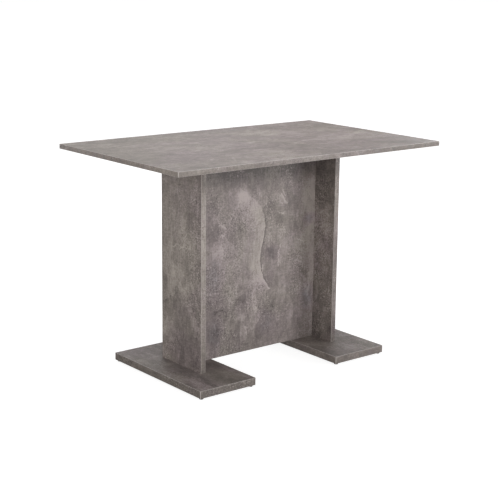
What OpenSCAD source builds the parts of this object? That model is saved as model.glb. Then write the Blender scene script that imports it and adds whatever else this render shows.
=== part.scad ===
// Extendable dining table: a one-piece top on a pedestal of two uprights, a web panel
// between them and two base plates. Two frames of bearers pull out from under the top's
// ends and carry two loose leaves, which are kept upright behind the web.
// X runs along the top, Y from front to back, Z up; the origin is on the floor, below
// the middle of the top.

/* [Table top] */
// Length of the top with no leaf fitted
top_length = 1100; // [1060:10:1300]
// Depth of the top, and length of each leaf
top_depth = 676; // [660:2:676]
// Height of the top's upper face above the floor
table_height = 758; // [756:1:790]
// Thickness of the top, the web and the leaves
board = 16; // [15:1:19]

/* [Pedestal] */
// Distance between the outer faces of the uprights
upright_span = 596; // [594:2:640]
// Thickness of each upright
upright_board = 19; // [18:1:22]
// Depth of each upright from front to back
upright_depth = 222; // [200:2:224]

/* [Base plates] */
// Length of each base plate along X
base_length = 224; // [200:2:230]
// Distance from the table's middle to each base plate's inner end
base_inner_x = 177.5; // [170:0.5:190]
// Depth of each base plate from front to back
base_depth = 496; // [420:2:560]
// Thickness of each base plate
base_board = 25; // [22:1:28]
// Height of the glides that the base plates stand on
glide_height = 5; // [4:0.5:8]

/* [Extension] */
// Width of each leaf along X when it is fitted
leaf_width = 270; // [240:2:274]
// Width and height of a bearer
bearer_size = 25; // [22:1:25]
// Distance from the middle plane to a right-hand bearer's middle
inner_bearer_y = 140; // [136:1:140]
// Distance from the middle plane to a left-hand bearer's middle
outer_bearer_y = 172; // [172:1:176]

/* [Hidden] */
$fn = 48;

// Colours
decor_colour = "#8d8581";
edging_colour = "#9a928e";
beech_colour = "#c8a06a";
steel_colour = "#b4b7ba";
plastic_colour = "#2b2a2a";

// Boards and their places
band = 1;                                // thickness of the edge bands
under_top = table_height - board;        // underside of the top
base_top = glide_height + base_board;    // upper face of the base plates
upright_out = upright_span / 2;          // outer face of an upright
upright_in = upright_out - upright_board;
upright_mid = upright_out - upright_board / 2;
web_back = board / 2;                    // the web stands on the middle plane
sides = [-1, 1];

// Cam fittings: a bolt in one board, drawn up by a housing let into the other
cam_reach = 34;                          // from the board's edge to the housing's middle
cam_d = 15;
cam_cap = 4.5;                           // housing's depth beyond the bolt's axis
bolt_thread_d = 7;
bolt_thread = 11;
bolt_shank_d = 5;
bolt_head = 3;
bolt_bore_d = 8;
upright_bolt_y = 75;
web_bolt_x = 150;
web_side_bolt_z = [110, 386, 650];
driver_slot = [8, 1.6, 1.2];

// Dowels and confirmat screws
dowel_d = 8;
dowel_in_top = 11;
dowel_in_edge = 18;
dowel_in_base = 12;
top_dowel_y = 30;
base_dowel_y = 85;
web_dowel_z = [180, 560];
confirmat_y = 40;
confirmat_d = 7;
confirmat_head_d = 10;
confirmat_head = 3;
confirmat_in_upright = 28;
play = 0.1;                              // radial clearance round every fastener

// Glides, each held by a nail
glide_inset = 12;                        // from the base plate's edges to the middle
glide_d = 14;
glide_nail_d = 2.5;
glide_nail_top = 20;
glide_skin = 1.5;                        // plastic below the nail's end

// Bearers, their keepers and stops
bearer_out = top_length / 2 - 100;       // outer end at rest
bearer_in = -150;                        // inner end at rest, past the middle
bearer_gap = 0.5;                        // play above and below a bearer
bearer_side_gap = 0.6;
bearer_top = under_top - bearer_gap;
bearer_bottom = bearer_top - bearer_size;
keeper_x = [215, bearer_out - 38.5];
keeper_width = 25;
keeper_steel = 2.5;
keeper_flange = 16;
keeper_drop = bearer_size + 2 * bearer_gap + keeper_steel;
keeper_inner = bearer_size + 2 * bearer_side_gap;
keeper_screw_y = keeper_inner / 2 + keeper_steel + keeper_flange / 2;
stop_pin_d = 6;
stop_pin_out = 4;                        // how far a stop pin stands below the bearer
stop_pin_in = 16;
stop_pin_x = bearer_in + 6;
rail_screw_d = 5;
rail_screw_head_d = 8;
rail_screw_head = 2.5;
rail_screw_grip = 25;
seat_d = 9;                              // blind holes that take the leaf's pins
seat_depth = 14;

// Wood screws
screw_d = 3.5;
screw_head_d = 7;
screw_head = 2;
screw_grip = 11.5;
catch_screw_d = 3;
catch_screw_head_d = 6;

// Leaves in store, standing on edge behind the web
leaf_mid_x = (upright_in + 3) / 2;
leaf_gap = 11;                           // from the web to the leaf, room for its pins
leaf_face = web_back + leaf_gap;         // the leaf's underside, which faces the web
leaf_foot = base_top + 3.3;
leaf_pin_d = 8;
leaf_pin_in = 12;
leaf_pin_out = 10;
leaf_pin_spread = 80;                    // from the leaf's middle to its pins
leaf_mid_z = leaf_foot + top_depth / 2;

// Brackets that the stored leaves stand on, and the catches that hold them
rest_spread = 90;
rest_width = 30;
rest_steel = 2;
rest_height = 30;
rest_reach = 30;
rest_screw_z = base_top + 20;
catch_size = [44, 9.5, 15];
catch_z = 677.5;
catch_screw_spread = 17;
catch_screw_sink = 2.5;
catch_screw_grip = 10;
strike_d = 20;
strike_steel = 1;
spike_d = 3;
spike_length = 8;

function bearer_y(side) = side > 0 ? inner_bearer_y : outer_bearer_y;

// A box between two corners
module block(low, high) { translate(low) cube(high - low); }

// A box between two corners, with either end of X given first
module side_block(side, x_in, x_out, y, z) {
    block([min(side * x_in, side * x_out), y[0], z[0]],
          [max(side * x_in, side * x_out), y[1], z[1]]);
}

// A cylinder along Z, from low to high
module rod(at, d, low, high) {
    translate([at[0], at[1], low]) cylinder(d = d, h = high - low);
}

// A cylinder along Y, from y_low to y_high
module rod_y(x, z, d, y_low, y_high) {
    translate([x, y_low, z]) rotate([-90, 0, 0]) cylinder(d = d, h = y_high - y_low);
}

// A cylinder along X on one side of the table, from x_in outwards to x_out
module rod_x(side, y, z, d, x_in, x_out) {
    translate([side * x_in, y, z]) rotate([0, side * 90, 0])
        cylinder(d = d, h = x_out - x_in);
}

// Edge band round all four edges of a flat board
module band_round(low, high) {
    for (y = [low[1], high[1] - band])
        block([low[0], y, low[2]], [high[0], y + band, high[2]]);
    for (x = [low[0], high[0] - band])
        block([x, low[1] + band, low[2]], [x + band, high[1] - band, high[2]]);
}

// ---- Places of the fittings, each a loop that puts its children at every place ----

module at_upright_bolts() {
    for (side = sides, y = [-upright_bolt_y, upright_bolt_y])
        translate([side * upright_mid, y, under_top]) children();
}

module at_web_top_bolts() {
    for (side = sides) translate([side * web_bolt_x, 0, under_top]) children();
}

module at_web_side_bolts() {
    for (side = sides, z = web_side_bolt_z)
        translate([side * upright_in, 0, z]) rotate([0, -side * 90, 0]) children();
}

module at_glides() {
    for (side = sides, x = [base_inner_x + glide_inset,
                            base_inner_x + base_length - glide_inset],
         y = [-1, 1] * (base_depth / 2 - glide_inset))
        translate([side * x, y, 0]) children();
}

module at_keepers() {
    for (side = sides, x = keeper_x, y = [-1, 1] * bearer_y(side))
        translate([side * x, y, under_top]) children();
}

module at_keeper_screws() {
    at_keepers() for (y = [-keeper_screw_y, keeper_screw_y])
        translate([0, y, 0]) children();
}

module at_leaf_rests() {
    for (side = sides, spread = [-rest_spread, rest_spread])
        translate([side * leaf_mid_x + spread, web_back, 0]) children();
}

module at_catch_screws() {
    for (side = sides, spread = [-catch_screw_spread, catch_screw_spread])
        translate([side * leaf_mid_x + spread, web_back, catch_z]) children();
}

// ---- Fittings ----

// Cam bolt standing on a board's face at the origin: thread below, shank and head above
module cam_bolt() {
    translate([0, 0, -bolt_thread]) cylinder(d = bolt_thread_d, h = bolt_thread);
    cylinder(d = bolt_shank_d, h = cam_reach);
    translate([0, 0, cam_reach - bolt_head / 2])
        cylinder(d = bolt_thread_d, h = bolt_head);
}

// Room for a cam bolt's thread in the board that it is screwed into
module bolt_socket() {
    translate([0, 0, -bolt_thread - play])
        cylinder(d = bolt_thread_d + 2 * play, h = bolt_thread + 2 * play);
}

// Room for a cam bolt's shank and head in the board that it draws up
module bolt_passage() {
    translate([0, 0, -play]) cylinder(d = bolt_bore_d, h = cam_reach + 5);
}

// Cam housing with its outer face at the origin, let in along +Z, bolt hole towards +X
module cam_housing(axis_depth) {
    difference() {
        cylinder(d = cam_d, h = axis_depth + cam_cap);
        translate([-bolt_head, 0, axis_depth]) rotate([0, 90, 0])
            cylinder(d = bolt_bore_d, h = cam_d);
        for (turn = [0, 90]) rotate([0, 0, turn])
            translate([-driver_slot[0] / 2, -driver_slot[1] / 2, -play])
                cube([driver_slot[0], driver_slot[1], driver_slot[2] + play]);
    }
}

module cam_pocket(axis_depth) {
    translate([0, 0, -play])
        cylinder(d = cam_d + 2 * play, h = axis_depth + cam_cap + 2 * play);
}

// Each places a housing or its pocket: in the uprights, under the top
module in_upright(side, y) {
    translate([side * upright_in, y, under_top - cam_reach])
        mirror([side > 0 ? 1 : 0, 0, 0]) rotate([0, -90, 0]) children();
}

// In the web, under the top
module in_web_top(side) {
    translate([side * web_bolt_x, web_back, under_top - cam_reach])
        rotate([90, 0, 0]) rotate([0, 0, 90]) children();
}

// In the web, beside an upright
module in_web_side(side, z) {
    translate([side * (upright_in - cam_reach), web_back, z])
        rotate([90, 0, 0]) rotate([0, 0, side > 0 ? 0 : 180]) children();
}

// Dowels in every joint, or the holes for them when clear is more than nothing
module all_dowels(clear = 0) {
    d = dowel_d + 2 * clear;
    for (side = sides) {
        for (y = [-top_dowel_y, top_dowel_y])
            rod([side * upright_mid, y], d, under_top - dowel_in_edge - clear,
                under_top + dowel_in_top + clear);
        for (y = [-base_dowel_y, base_dowel_y])
            rod([side * upright_mid, y], d, base_top - dowel_in_base - clear,
                base_top + dowel_in_edge + clear);
        for (z = web_dowel_z)
            rod_x(side, 0, z, d, upright_in - dowel_in_edge - clear,
                  upright_in + dowel_in_top + clear);
    }
}

// Confirmat screws up through the base plates, or the holes for them
module all_confirmats(clear = 0) {
    for (side = sides, y = [-confirmat_y, confirmat_y]) {
        at = [side * upright_mid, y];
        rod(at, confirmat_d + 2 * clear, glide_height,
            base_top + confirmat_in_upright + clear);
        rod(at, confirmat_head_d + 2 * clear, glide_height - (clear > 0 ? 1 : 0),
            glide_height + confirmat_head);
    }
}

// ---- Fixed boards ----

module table_top() {
    color(decor_colour) difference() {
        block([-top_length / 2 + band, -top_depth / 2 + band, under_top],
              [top_length / 2 - band, top_depth / 2 - band, table_height]);
        at_upright_bolts() mirror([0, 0, 1]) bolt_socket();
        at_web_top_bolts() mirror([0, 0, 1]) bolt_socket();
        all_dowels(play);
        at_keeper_screws() translate([0, 0, -play])
            cylinder(d = screw_d + 2 * play, h = screw_grip + 2 * play);
    }
}

module top_edging() {
    color(edging_colour)
        band_round([-top_length / 2, -top_depth / 2, under_top],
                   [top_length / 2, top_depth / 2, table_height]);
}

module upright(side) {
    color(decor_colour) difference() {
        side_block(side, upright_in, upright_out,
                   [-upright_depth / 2 + band, upright_depth / 2 - band],
                   [base_top, under_top]);
        at_upright_bolts() mirror([0, 0, 1]) bolt_passage();
        for (y = [-upright_bolt_y, upright_bolt_y])
            in_upright(side, y) cam_pocket(upright_board / 2);
        at_web_side_bolts() bolt_socket();
        all_dowels(play);
        all_confirmats(play);
    }
}

module left_upright() { upright(-1); }
module right_upright() { upright(1); }

module upright_edging(side) {
    color(edging_colour) for (y = [-upright_depth / 2, upright_depth / 2 - band])
        side_block(side, upright_in, upright_out, [y, y + band], [base_top, under_top]);
}

module left_upright_edging() { upright_edging(-1); }
module right_upright_edging() { upright_edging(1); }

module web_panel() {
    color(decor_colour) difference() {
        block([-upright_in, -web_back, base_top + band],
              [upright_in, web_back, under_top]);
        at_web_top_bolts() mirror([0, 0, 1]) bolt_passage();
        at_web_side_bolts() bolt_passage();
        for (side = sides) {
            in_web_top(side) cam_pocket(web_back);
            for (z = web_side_bolt_z) in_web_side(side, z) cam_pocket(web_back);
        }
        all_dowels(play);
        at_leaf_rests()
            rod_y(0, rest_screw_z, screw_d + 2 * play, -screw_grip - play, play);
        at_catch_screws()
            rod_y(0, 0, catch_screw_d + 2 * play, -catch_screw_grip - play, play);
    }
}

module web_edging() {
    color(edging_colour) block([-upright_in, -web_back, base_top],
                               [upright_in, web_back, base_top + band]);
}

module base_plate(side) {
    color(decor_colour) difference() {
        side_block(side, base_inner_x + band, base_inner_x + base_length - band,
                   [-base_depth / 2 + band, base_depth / 2 - band],
                   [glide_height, base_top]);
        all_dowels(play);
        all_confirmats(play);
        at_glides() rod([0, 0], glide_nail_d + 2 * play, 0, glide_nail_top + play);
    }
}

module left_base_plate() { base_plate(-1); }
module right_base_plate() { base_plate(1); }

module base_edging(side) {
    middle = side * (base_inner_x + base_length / 2);
    color(edging_colour)
        band_round([middle - base_length / 2, -base_depth / 2, glide_height],
                   [middle + base_length / 2, base_depth / 2, base_top]);
}

module left_base_edging() { base_edging(-1); }
module right_base_edging() { base_edging(1); }

// ---- Fixed fittings ----

module glides() {
    color(plastic_colour) at_glides() difference() {
        union() {
            cylinder(d1 = glide_d - 2, d2 = glide_d, h = 1);
            translate([0, 0, 1]) cylinder(d = glide_d, h = glide_height - 1);
        }
        translate([0, 0, glide_skin])
            cylinder(d = glide_nail_d + 2 * play, h = glide_height);
    }
}

module glide_nails() {
    color(steel_colour) at_glides() rod([0, 0], glide_nail_d, glide_skin, glide_nail_top);
}

module dowels() { color(beech_colour) all_dowels(); }

module cam_bolts() {
    color(steel_colour) {
        at_upright_bolts() mirror([0, 0, 1]) cam_bolt();
        at_web_top_bolts() mirror([0, 0, 1]) cam_bolt();
        at_web_side_bolts() cam_bolt();
    }
}

module cam_housings() {
    color(steel_colour) for (side = sides) {
        for (y = [-upright_bolt_y, upright_bolt_y])
            in_upright(side, y) cam_housing(upright_board / 2);
        in_web_top(side) cam_housing(web_back);
        for (z = web_side_bolt_z) in_web_side(side, z) cam_housing(web_back);
    }
}

module confirmat_screws() { color(steel_colour) all_confirmats(); }

// Steel straps under the top, each folded round a bearer
module bearer_keepers() {
    half = keeper_inner / 2 + keeper_steel;
    color(steel_colour) at_keepers() difference() {
        union() {
            block([-keeper_width / 2, -half, -keeper_drop], [keeper_width / 2, half, 0]);
            block([-keeper_width / 2, -half - keeper_flange, -keeper_steel],
                  [keeper_width / 2, half + keeper_flange, 0]);
        }
        block([-keeper_width, -keeper_inner / 2, -keeper_drop + keeper_steel],
              [keeper_width, keeper_inner / 2, 1]);
        for (y = [-keeper_screw_y, keeper_screw_y])
            rod([0, y], screw_d + 2 * play, -keeper_steel - 1, 1);
    }
}

module keeper_screws() {
    color(steel_colour) at_keeper_screws() {
        rod([0, 0], screw_d, -keeper_steel, screw_grip);
        rod([0, 0], screw_head_d, -keeper_steel - screw_head, -keeper_steel);
    }
}

// Steel angles on the back of the web that the stored leaves stand on
module leaf_rests() {
    low = base_top + band;
    color(steel_colour) at_leaf_rests() difference() {
        union() {
            block([-rest_width / 2, 0, low], [rest_width / 2, rest_steel, low + rest_height]);
            block([-rest_width / 2, 0, low], [rest_width / 2, rest_reach, low + rest_steel]);
        }
        rod_y(0, rest_screw_z, screw_d + 2 * play, -1, rest_steel + 1);
    }
}

module leaf_rest_screws() {
    color(steel_colour) at_leaf_rests() {
        rod_y(0, rest_screw_z, screw_d, -screw_grip, rest_steel);
        rod_y(0, rest_screw_z, screw_head_d, rest_steel, rest_steel + screw_head);
    }
}

module magnetic_catches() {
    color(plastic_colour) for (side = sides) difference() {
        translate([side * leaf_mid_x - catch_size[0] / 2, web_back,
                   catch_z - catch_size[2] / 2]) cube(catch_size);
        at_catch_screws() {
            rod_y(0, 0, catch_screw_d + 2 * play, -1, catch_size[1] + 1);
            rod_y(0, 0, catch_screw_head_d + 2 * play, catch_size[1] - catch_screw_sink,
                  catch_size[1] + 1);
        }
    }
}

module catch_screws() {
    seat = catch_size[1] - catch_screw_sink;
    color(steel_colour) at_catch_screws() {
        rod_y(0, 0, catch_screw_d, -catch_screw_grip, seat);
        rod_y(0, 0, catch_screw_head_d, seat, seat + screw_head);
    }
}

// ---- Extension frames ----

rail_in = bearer_out - bearer_size;
rail_mid_x = bearer_out - bearer_size / 2;
rail_mid_z = bearer_bottom + bearer_size / 2;

// Each frame pulls out 340 until the fitted leaf meets the top; the leaf's outer row of
// pins then comes down beside the cross rail
seat_x = [rail_in - 2 * leaf_pin_spread, rail_in];

// Screws that hold the cross rail between its two bearers, or the holes for them
module rail_screws(side, clear = 0) {
    face = bearer_y(side) + bearer_size / 2;
    grip = bearer_size + rail_screw_grip;
    for (end = sides) translate([side * rail_mid_x, end * face, rail_mid_z])
        rotate([end * 90, 0, 0]) {
            translate([0, 0, -clear])
                cylinder(d = rail_screw_d + 2 * clear, h = grip + 2 * clear);
            translate([0, 0, -clear])
                cylinder(d = rail_screw_head_d + 2 * clear, h = rail_screw_head + clear);
        }
}

module stop_pins(side, clear = 0) {
    for (y = [-1, 1] * bearer_y(side))
        rod([side * stop_pin_x, y], stop_pin_d + 2 * clear,
            bearer_bottom - stop_pin_out, bearer_bottom + stop_pin_in + clear);
}

module bearer(side, end) {
    y = end * bearer_y(side);
    color(beech_colour) difference() {
        side_block(side, bearer_in, bearer_out,
                   [y - bearer_size / 2, y + bearer_size / 2], [bearer_bottom, bearer_top]);
        for (x = seat_x)
            rod([side * x, y], seat_d, bearer_top - seat_depth, bearer_top + 1);
        rail_screws(side, play);
        stop_pins(side, play);
    }
}

module right_front_bearer() { bearer(1, -1); }
module right_rear_bearer() { bearer(1, 1); }
module left_front_bearer() { bearer(-1, -1); }
module left_rear_bearer() { bearer(-1, 1); }

// Rail that joins the bearers' outer ends and is the handle of the frame
module cross_rail(side) {
    inner = bearer_y(side) - bearer_size / 2;
    color(beech_colour) difference() {
        side_block(side, rail_in, bearer_out, [-inner, inner], [bearer_bottom, bearer_top]);
        rail_screws(side, play);
    }
}

module right_cross_rail() { cross_rail(1); }
module left_cross_rail() { cross_rail(-1); }
module right_rail_screws() { color(steel_colour) rail_screws(1); }
module left_rail_screws() { color(steel_colour) rail_screws(-1); }
module right_stop_pins() { color(steel_colour) stop_pins(1); }
module left_stop_pins() { color(steel_colour) stop_pins(-1); }

// ---- Leaves, stored on edge with their undersides towards the web ----

// Pins that drop into the bearers when the leaf is fitted, or the holes for them
module leaf_pins(side, clear = 0) {
    for (spread = [-leaf_pin_spread, leaf_pin_spread], z = [-1, 1] * bearer_y(side))
        rod_y(side * leaf_mid_x + spread, leaf_mid_z + z, leaf_pin_d + 2 * clear,
              leaf_face - leaf_pin_out, leaf_face + leaf_pin_in + clear);
}

// Steel disc that the catch holds, with a spike that is knocked into the leaf
module strike_spike(side, clear = 0) {
    rod_y(side * leaf_mid_x, catch_z, spike_d + 2 * clear, leaf_face - strike_steel,
          leaf_face + spike_length + clear);
}

module strike_plate(side) {
    color(steel_colour) {
        rod_y(side * leaf_mid_x, catch_z, strike_d, leaf_face - strike_steel, leaf_face);
        strike_spike(side);
    }
}

leaf_low = [-leaf_width / 2, leaf_face, leaf_foot];
leaf_high = [leaf_width / 2, leaf_face + board, leaf_foot + top_depth];

module leaf(side) {
    middle = [side * leaf_mid_x, 0, 0];
    color(decor_colour) difference() {
        translate(middle) block(leaf_low + [band, 0, band], leaf_high - [band, 0, band]);
        leaf_pins(side, play);
        strike_spike(side, play);
    }
}

// Edge band round a leaf that stands on edge
module leaf_edging(side) {
    color(edging_colour) translate([side * leaf_mid_x, 0, 0]) {
        for (x = [leaf_low[0], leaf_high[0] - band])
            block([x, leaf_low[1], leaf_low[2]], [x + band, leaf_high[1], leaf_high[2]]);
        for (z = [leaf_low[2], leaf_high[2] - band])
            block([leaf_low[0] + band, leaf_low[1], z],
                  [leaf_high[0] - band, leaf_high[1], z + band]);
    }
}

module right_leaf() { leaf(1); }
module left_leaf() { leaf(-1); }
module right_leaf_edging() { leaf_edging(1); }
module left_leaf_edging() { leaf_edging(-1); }
module right_leaf_pins() { color(beech_colour) leaf_pins(1); }
module left_leaf_pins() { color(beech_colour) leaf_pins(-1); }
module right_strike_plate() { strike_plate(1); }
module left_strike_plate() { strike_plate(-1); }

table_top();
top_edging();
left_upright();
right_upright();
left_upright_edging();
right_upright_edging();
web_panel();
web_edging();
left_base_plate();
right_base_plate();
left_base_edging();
right_base_edging();
glides();
glide_nails();
dowels();
cam_bolts();
cam_housings();
confirmat_screws();
bearer_keepers();
keeper_screws();
leaf_rests();
leaf_rest_screws();
magnetic_catches();
catch_screws();
right_front_bearer();
right_rear_bearer();
right_cross_rail();
right_rail_screws();
right_stop_pins();
left_front_bearer();
left_rear_bearer();
left_cross_rail();
left_rail_screws();
left_stop_pins();
right_leaf();
right_leaf_edging();
right_leaf_pins();
right_strike_plate();
left_leaf();
left_leaf_edging();
left_leaf_pins();
left_strike_plate();
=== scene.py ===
import math

import bmesh
import bpy
from mathutils import Matrix, Vector


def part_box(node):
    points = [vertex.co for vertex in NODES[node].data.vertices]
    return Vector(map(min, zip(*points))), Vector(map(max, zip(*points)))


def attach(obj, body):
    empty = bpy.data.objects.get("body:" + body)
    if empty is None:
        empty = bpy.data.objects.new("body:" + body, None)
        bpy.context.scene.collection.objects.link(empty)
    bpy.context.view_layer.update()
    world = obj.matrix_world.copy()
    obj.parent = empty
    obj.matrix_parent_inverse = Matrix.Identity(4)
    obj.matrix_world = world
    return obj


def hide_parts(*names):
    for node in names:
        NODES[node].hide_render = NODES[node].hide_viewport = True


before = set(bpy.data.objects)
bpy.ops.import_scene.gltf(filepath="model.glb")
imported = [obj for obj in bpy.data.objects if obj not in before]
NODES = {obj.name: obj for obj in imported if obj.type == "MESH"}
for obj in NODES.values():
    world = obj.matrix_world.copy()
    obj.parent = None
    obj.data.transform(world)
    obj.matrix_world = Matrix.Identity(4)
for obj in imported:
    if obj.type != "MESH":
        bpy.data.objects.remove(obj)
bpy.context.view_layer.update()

MM = 0.001
SIDES = ("left", "right")

# ---------------------------------------------------------------- camera, floor and light

CAMERA_AT = Vector((-2.5898, -3.1996, 1.3602))
CAMERA_YAW = 38.902
CAMERA_PITCH = -13.320
CAMERA_ROLL = 0.671
CAMERA_LENS = 88.63
SENSOR_WIDTH = 36
FAR_CLIP = 50

FLOOR_HALF = 30
FLOOR_GREY = (0.34, 0.34, 0.34)
GLOW_NEAR, GLOW_FAR = 0.8, 4.0              # distances from the middle of the floor, in metres
GLOW_AT_NEAR, GLOW_AT_FAR = 0.86, 1.0
SURROUND_LIGHT, SURROUND_SEEN = 0.32, 1.0   # what it lights with, and what the camera sees
MIDDLE = (0, 0, 0.4)
WHITE = (1.0, 1.0, 1.0)
WARM = (1.0, 0.972, 0.925)
SOFTBOXES = (                               # name, place, size, power, colour
    ("overhead_softbox", (0.2, 0.0, 3.2), (1.6, 1.6), 54, WHITE),
    ("front_right_softbox", (2.6, -3.0, 1.0), (2.0, 1.0), 79, WHITE),
    ("front_left_softbox", (-1.6, -3.4, 1.0), (2.0, 1.0), 40, WHITE),
    ("left_softbox", (-3.6, -0.6, 1.0), (2.0, 1.0), 34, WARM),
    ("right_back_softbox", (3.4, 1.2, 1.3), (2.0, 1.2), 34, WHITE),
    ("back_softbox", (1.4, 3.4, 1.5), (2.4, 1.2), 10, WHITE),
    ("left_back_softbox", (-1.4, 3.6, 1.3), (2.4, 1.2), 14, WHITE),
    ("low_back_softbox", (0.0, 3.2, 0.42), (2.8, 0.56), 18, WHITE),
)


def add_camera():
    """The camera looks down on the table from the front left."""
    yaw, pitch, roll = (math.radians(a) for a in (CAMERA_YAW, CAMERA_PITCH, CAMERA_ROLL))
    level = math.cos(pitch)
    ahead = Vector((math.sin(yaw) * level, math.cos(yaw) * level, math.sin(pitch)))
    right = ahead.cross(Vector((0, 0, 1))).normalized()
    up = right.cross(ahead)
    turned_right = right * math.cos(roll) + up * math.sin(roll)
    turned_up = up * math.cos(roll) - right * math.sin(roll)
    data = bpy.data.cameras.new("camera")
    data.sensor_width = SENSOR_WIDTH
    data.lens = CAMERA_LENS
    data.clip_end = FAR_CLIP
    camera = bpy.data.objects.new("camera", data)
    bpy.context.scene.collection.objects.link(camera)
    axes = Matrix((turned_right, turned_up, -ahead)).transposed().to_4x4()
    camera.matrix_world = Matrix.Translation(CAMERA_AT) @ axes
    bpy.context.scene.camera = camera


def add_softbox(name, at, size, power, colour):
    """A rectangular light, out of the camera's sight, that faces the middle of the table."""
    data = bpy.data.lights.new(name, "AREA")
    data.shape = "RECTANGLE"
    data.size, data.size_y = size
    data.energy = power
    data.color = colour
    light = bpy.data.objects.new(name, data)
    bpy.context.scene.collection.objects.link(light)
    light.location = at
    light.visible_camera = False
    light.rotation_euler = (Vector(MIDDLE) - Vector(at)).to_track_quat("-Z", "Y").to_euler()


def add_stage():
    """A pale floor that glows softly where the camera sees it, a white surround, and softboxes."""
    mesh = bpy.data.meshes.new("floor")
    corners = [(x * FLOOR_HALF, y * FLOOR_HALF, 0) for x, y in ((-1, -1), (1, -1), (1, 1), (-1, 1))]
    mesh.from_pydata(corners, [], [(0, 1, 2, 3)])
    floor = bpy.data.objects.new("floor", mesh)
    bpy.context.scene.collection.objects.link(floor)
    material = bpy.data.materials.new("floor")
    material.use_nodes = True
    s = Shading(material.node_tree)
    seen = s.node("ShaderNodeLightPath").outputs["Is Camera Ray"]
    place = s.node("ShaderNodeTexCoord").outputs["Object"]
    away = s.fill(s.node("ShaderNodeVectorMath", operation="LENGTH"), {0: place})["Value"]
    glow = s.rise(away, GLOW_NEAR, GLOW_FAR, GLOW_AT_NEAR, GLOW_AT_FAR, smooth=False)
    s.fill(material.node_tree.nodes["Principled BSDF"], {
        "Base Color": FLOOR_GREY, "Roughness": 1.0, "Specular IOR Level": 0.0,
        "Emission Color": WHITE, "Emission Strength": s.scaled(seen, glow)})
    floor.data.materials.append(material)

    world = bpy.data.worlds.new("studio")
    world.use_nodes = True
    s = Shading(world.node_tree)
    seen = s.node("ShaderNodeLightPath").outputs["Is Camera Ray"]
    strength = s.rise(seen, 0.0, 1.0, SURROUND_LIGHT, SURROUND_SEEN, smooth=False)
    s.fill(world.node_tree.nodes["Background"], {"Color": WHITE, "Strength": strength})
    bpy.context.scene.world = world

    for row in SOFTBOXES:
        add_softbox(*row)
    bpy.context.scene.view_settings.view_transform = "Standard"
    bpy.context.scene.view_settings.look = "None"


# ---------------------------------------------------------------- shader trees

def socket(tree, target, value):
    """Sets an input to a number or colour, or links it to a node's output."""
    if isinstance(value, bpy.types.NodeSocket):
        tree.links.new(value, target)
    elif target.type == "RGBA":
        target.default_value = (*value, 1)
    else:
        target.default_value = value


class Shading:
    """Short names for the nodes that materials are made of. From math() on, each returns what the
    node puts out."""

    def __init__(self, tree):
        self.tree = tree

    def node(self, kind, **settings):
        node = self.tree.nodes.new(kind)
        for key, value in settings.items():
            setattr(node, key, value)
        return node

    def fill(self, node, values):
        """Sets or links inputs, given by name or number, and returns the node's outputs."""
        for key, value in values.items():
            socket(self.tree, node.inputs[key], value)
        return node.outputs

    def math(self, operation, a, b=0.0, clamp=False):
        node = self.node("ShaderNodeMath", operation=operation, use_clamp=clamp)
        return self.fill(node, {0: a, 1: b})[0]

    def add(self, *values):
        total = values[0]
        for value in values[1:]:
            total = self.math("ADD", total, value)
        return total

    def scaled(self, a, b):
        return self.math("MULTIPLY", a, b)

    def vector(self, x, y, z):
        return self.fill(self.node("ShaderNodeCombineXYZ"), {0: x, 1: y, 2: z})[0]

    def axes(self, vector):
        return self.fill(self.node("ShaderNodeSeparateXYZ"), {0: vector})

    def noise(self, vector, scale, detail=2.0, roughness=0.5, distortion=0.0):
        return self.fill(self.node("ShaderNodeTexNoise"), {
            "Vector": vector, "Scale": scale, "Detail": detail,
            "Roughness": roughness, "Distortion": distortion})["Fac"]

    def cells(self, vector, scale):
        node = self.node("ShaderNodeTexVoronoi", feature="F1")
        return self.fill(node, {"Vector": vector, "Scale": scale})["Distance"]

    def rise(self, value, low, high, to_low=0.0, to_high=1.0, smooth=True):
        """From to_low to to_high as value goes from low to high."""
        kind = "SMOOTHSTEP" if smooth else "LINEAR"
        node = self.node("ShaderNodeMapRange", interpolation_type=kind)
        return self.fill(node, dict(enumerate((value, low, high, to_low, to_high))))[0]

    def mix(self, share, a, b, blend="MIX"):
        node = self.node("ShaderNodeMix", data_type="RGBA", blend_type=blend)
        return self.fill(node, {0: share, 6: a, 7: b})[2]

    def curve(self, value, points):
        """A smooth curve through (value, result) points, both in metres."""
        first, last = points[0][0], points[-1][0]
        lowest = min(result for _, result in points)
        highest = max(result for _, result in points)
        node = self.node("ShaderNodeFloatCurve")
        line = node.mapping.curves[0]
        placed = [((at - first) / (last - first), (result - lowest) / (highest - lowest))
                  for at, result in points]
        line.points[0].location, line.points[1].location = placed[0], placed[-1]
        for at, result in placed[1:-1]:
            line.points.new(at, result)
        node.mapping.update()
        share = self.fill(node, {"Value": self.rise(value, first, last, smooth=False)})["Value"]
        return self.rise(share, 0.0, 1.0, lowest, highest, smooth=False)

    def bump(self, height, distance, strength=1.0):
        return self.fill(self.node("ShaderNodeBump"), {
            "Height": height, "Distance": distance, "Strength": strength})["Normal"]


def new_material(name):
    material = bpy.data.materials.new(name)
    material.use_nodes = True
    shading = Shading(material.node_tree)
    shader = material.node_tree.nodes["Principled BSDF"]
    position = shading.node("ShaderNodeTexCoord").outputs["Object"]
    return material, shading, shader, position


# ---------------------------------------------------------------- stone decor

STONE_DARK = (0.078, 0.066, 0.063)
STONE_MID = (0.214, 0.184, 0.176)
STONE_PALE = (0.440, 0.388, 0.374)
ARRIS_HIGHLIGHT = (0.560, 0.520, 0.500)
ROSE_TINT = (1.010, 0.973, 1.000)
OLIVE_TINT = (0.998, 1.010, 0.950)
GLAZE_TINT = (0.935, 0.975, 1.040)
STONE_SPECULAR = 0.42
STONE_ROUGHNESS = (0.58, 0.46)      # in the hollows, and on the high spots
STONE_RELIEF = 0.05 * MM


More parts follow.
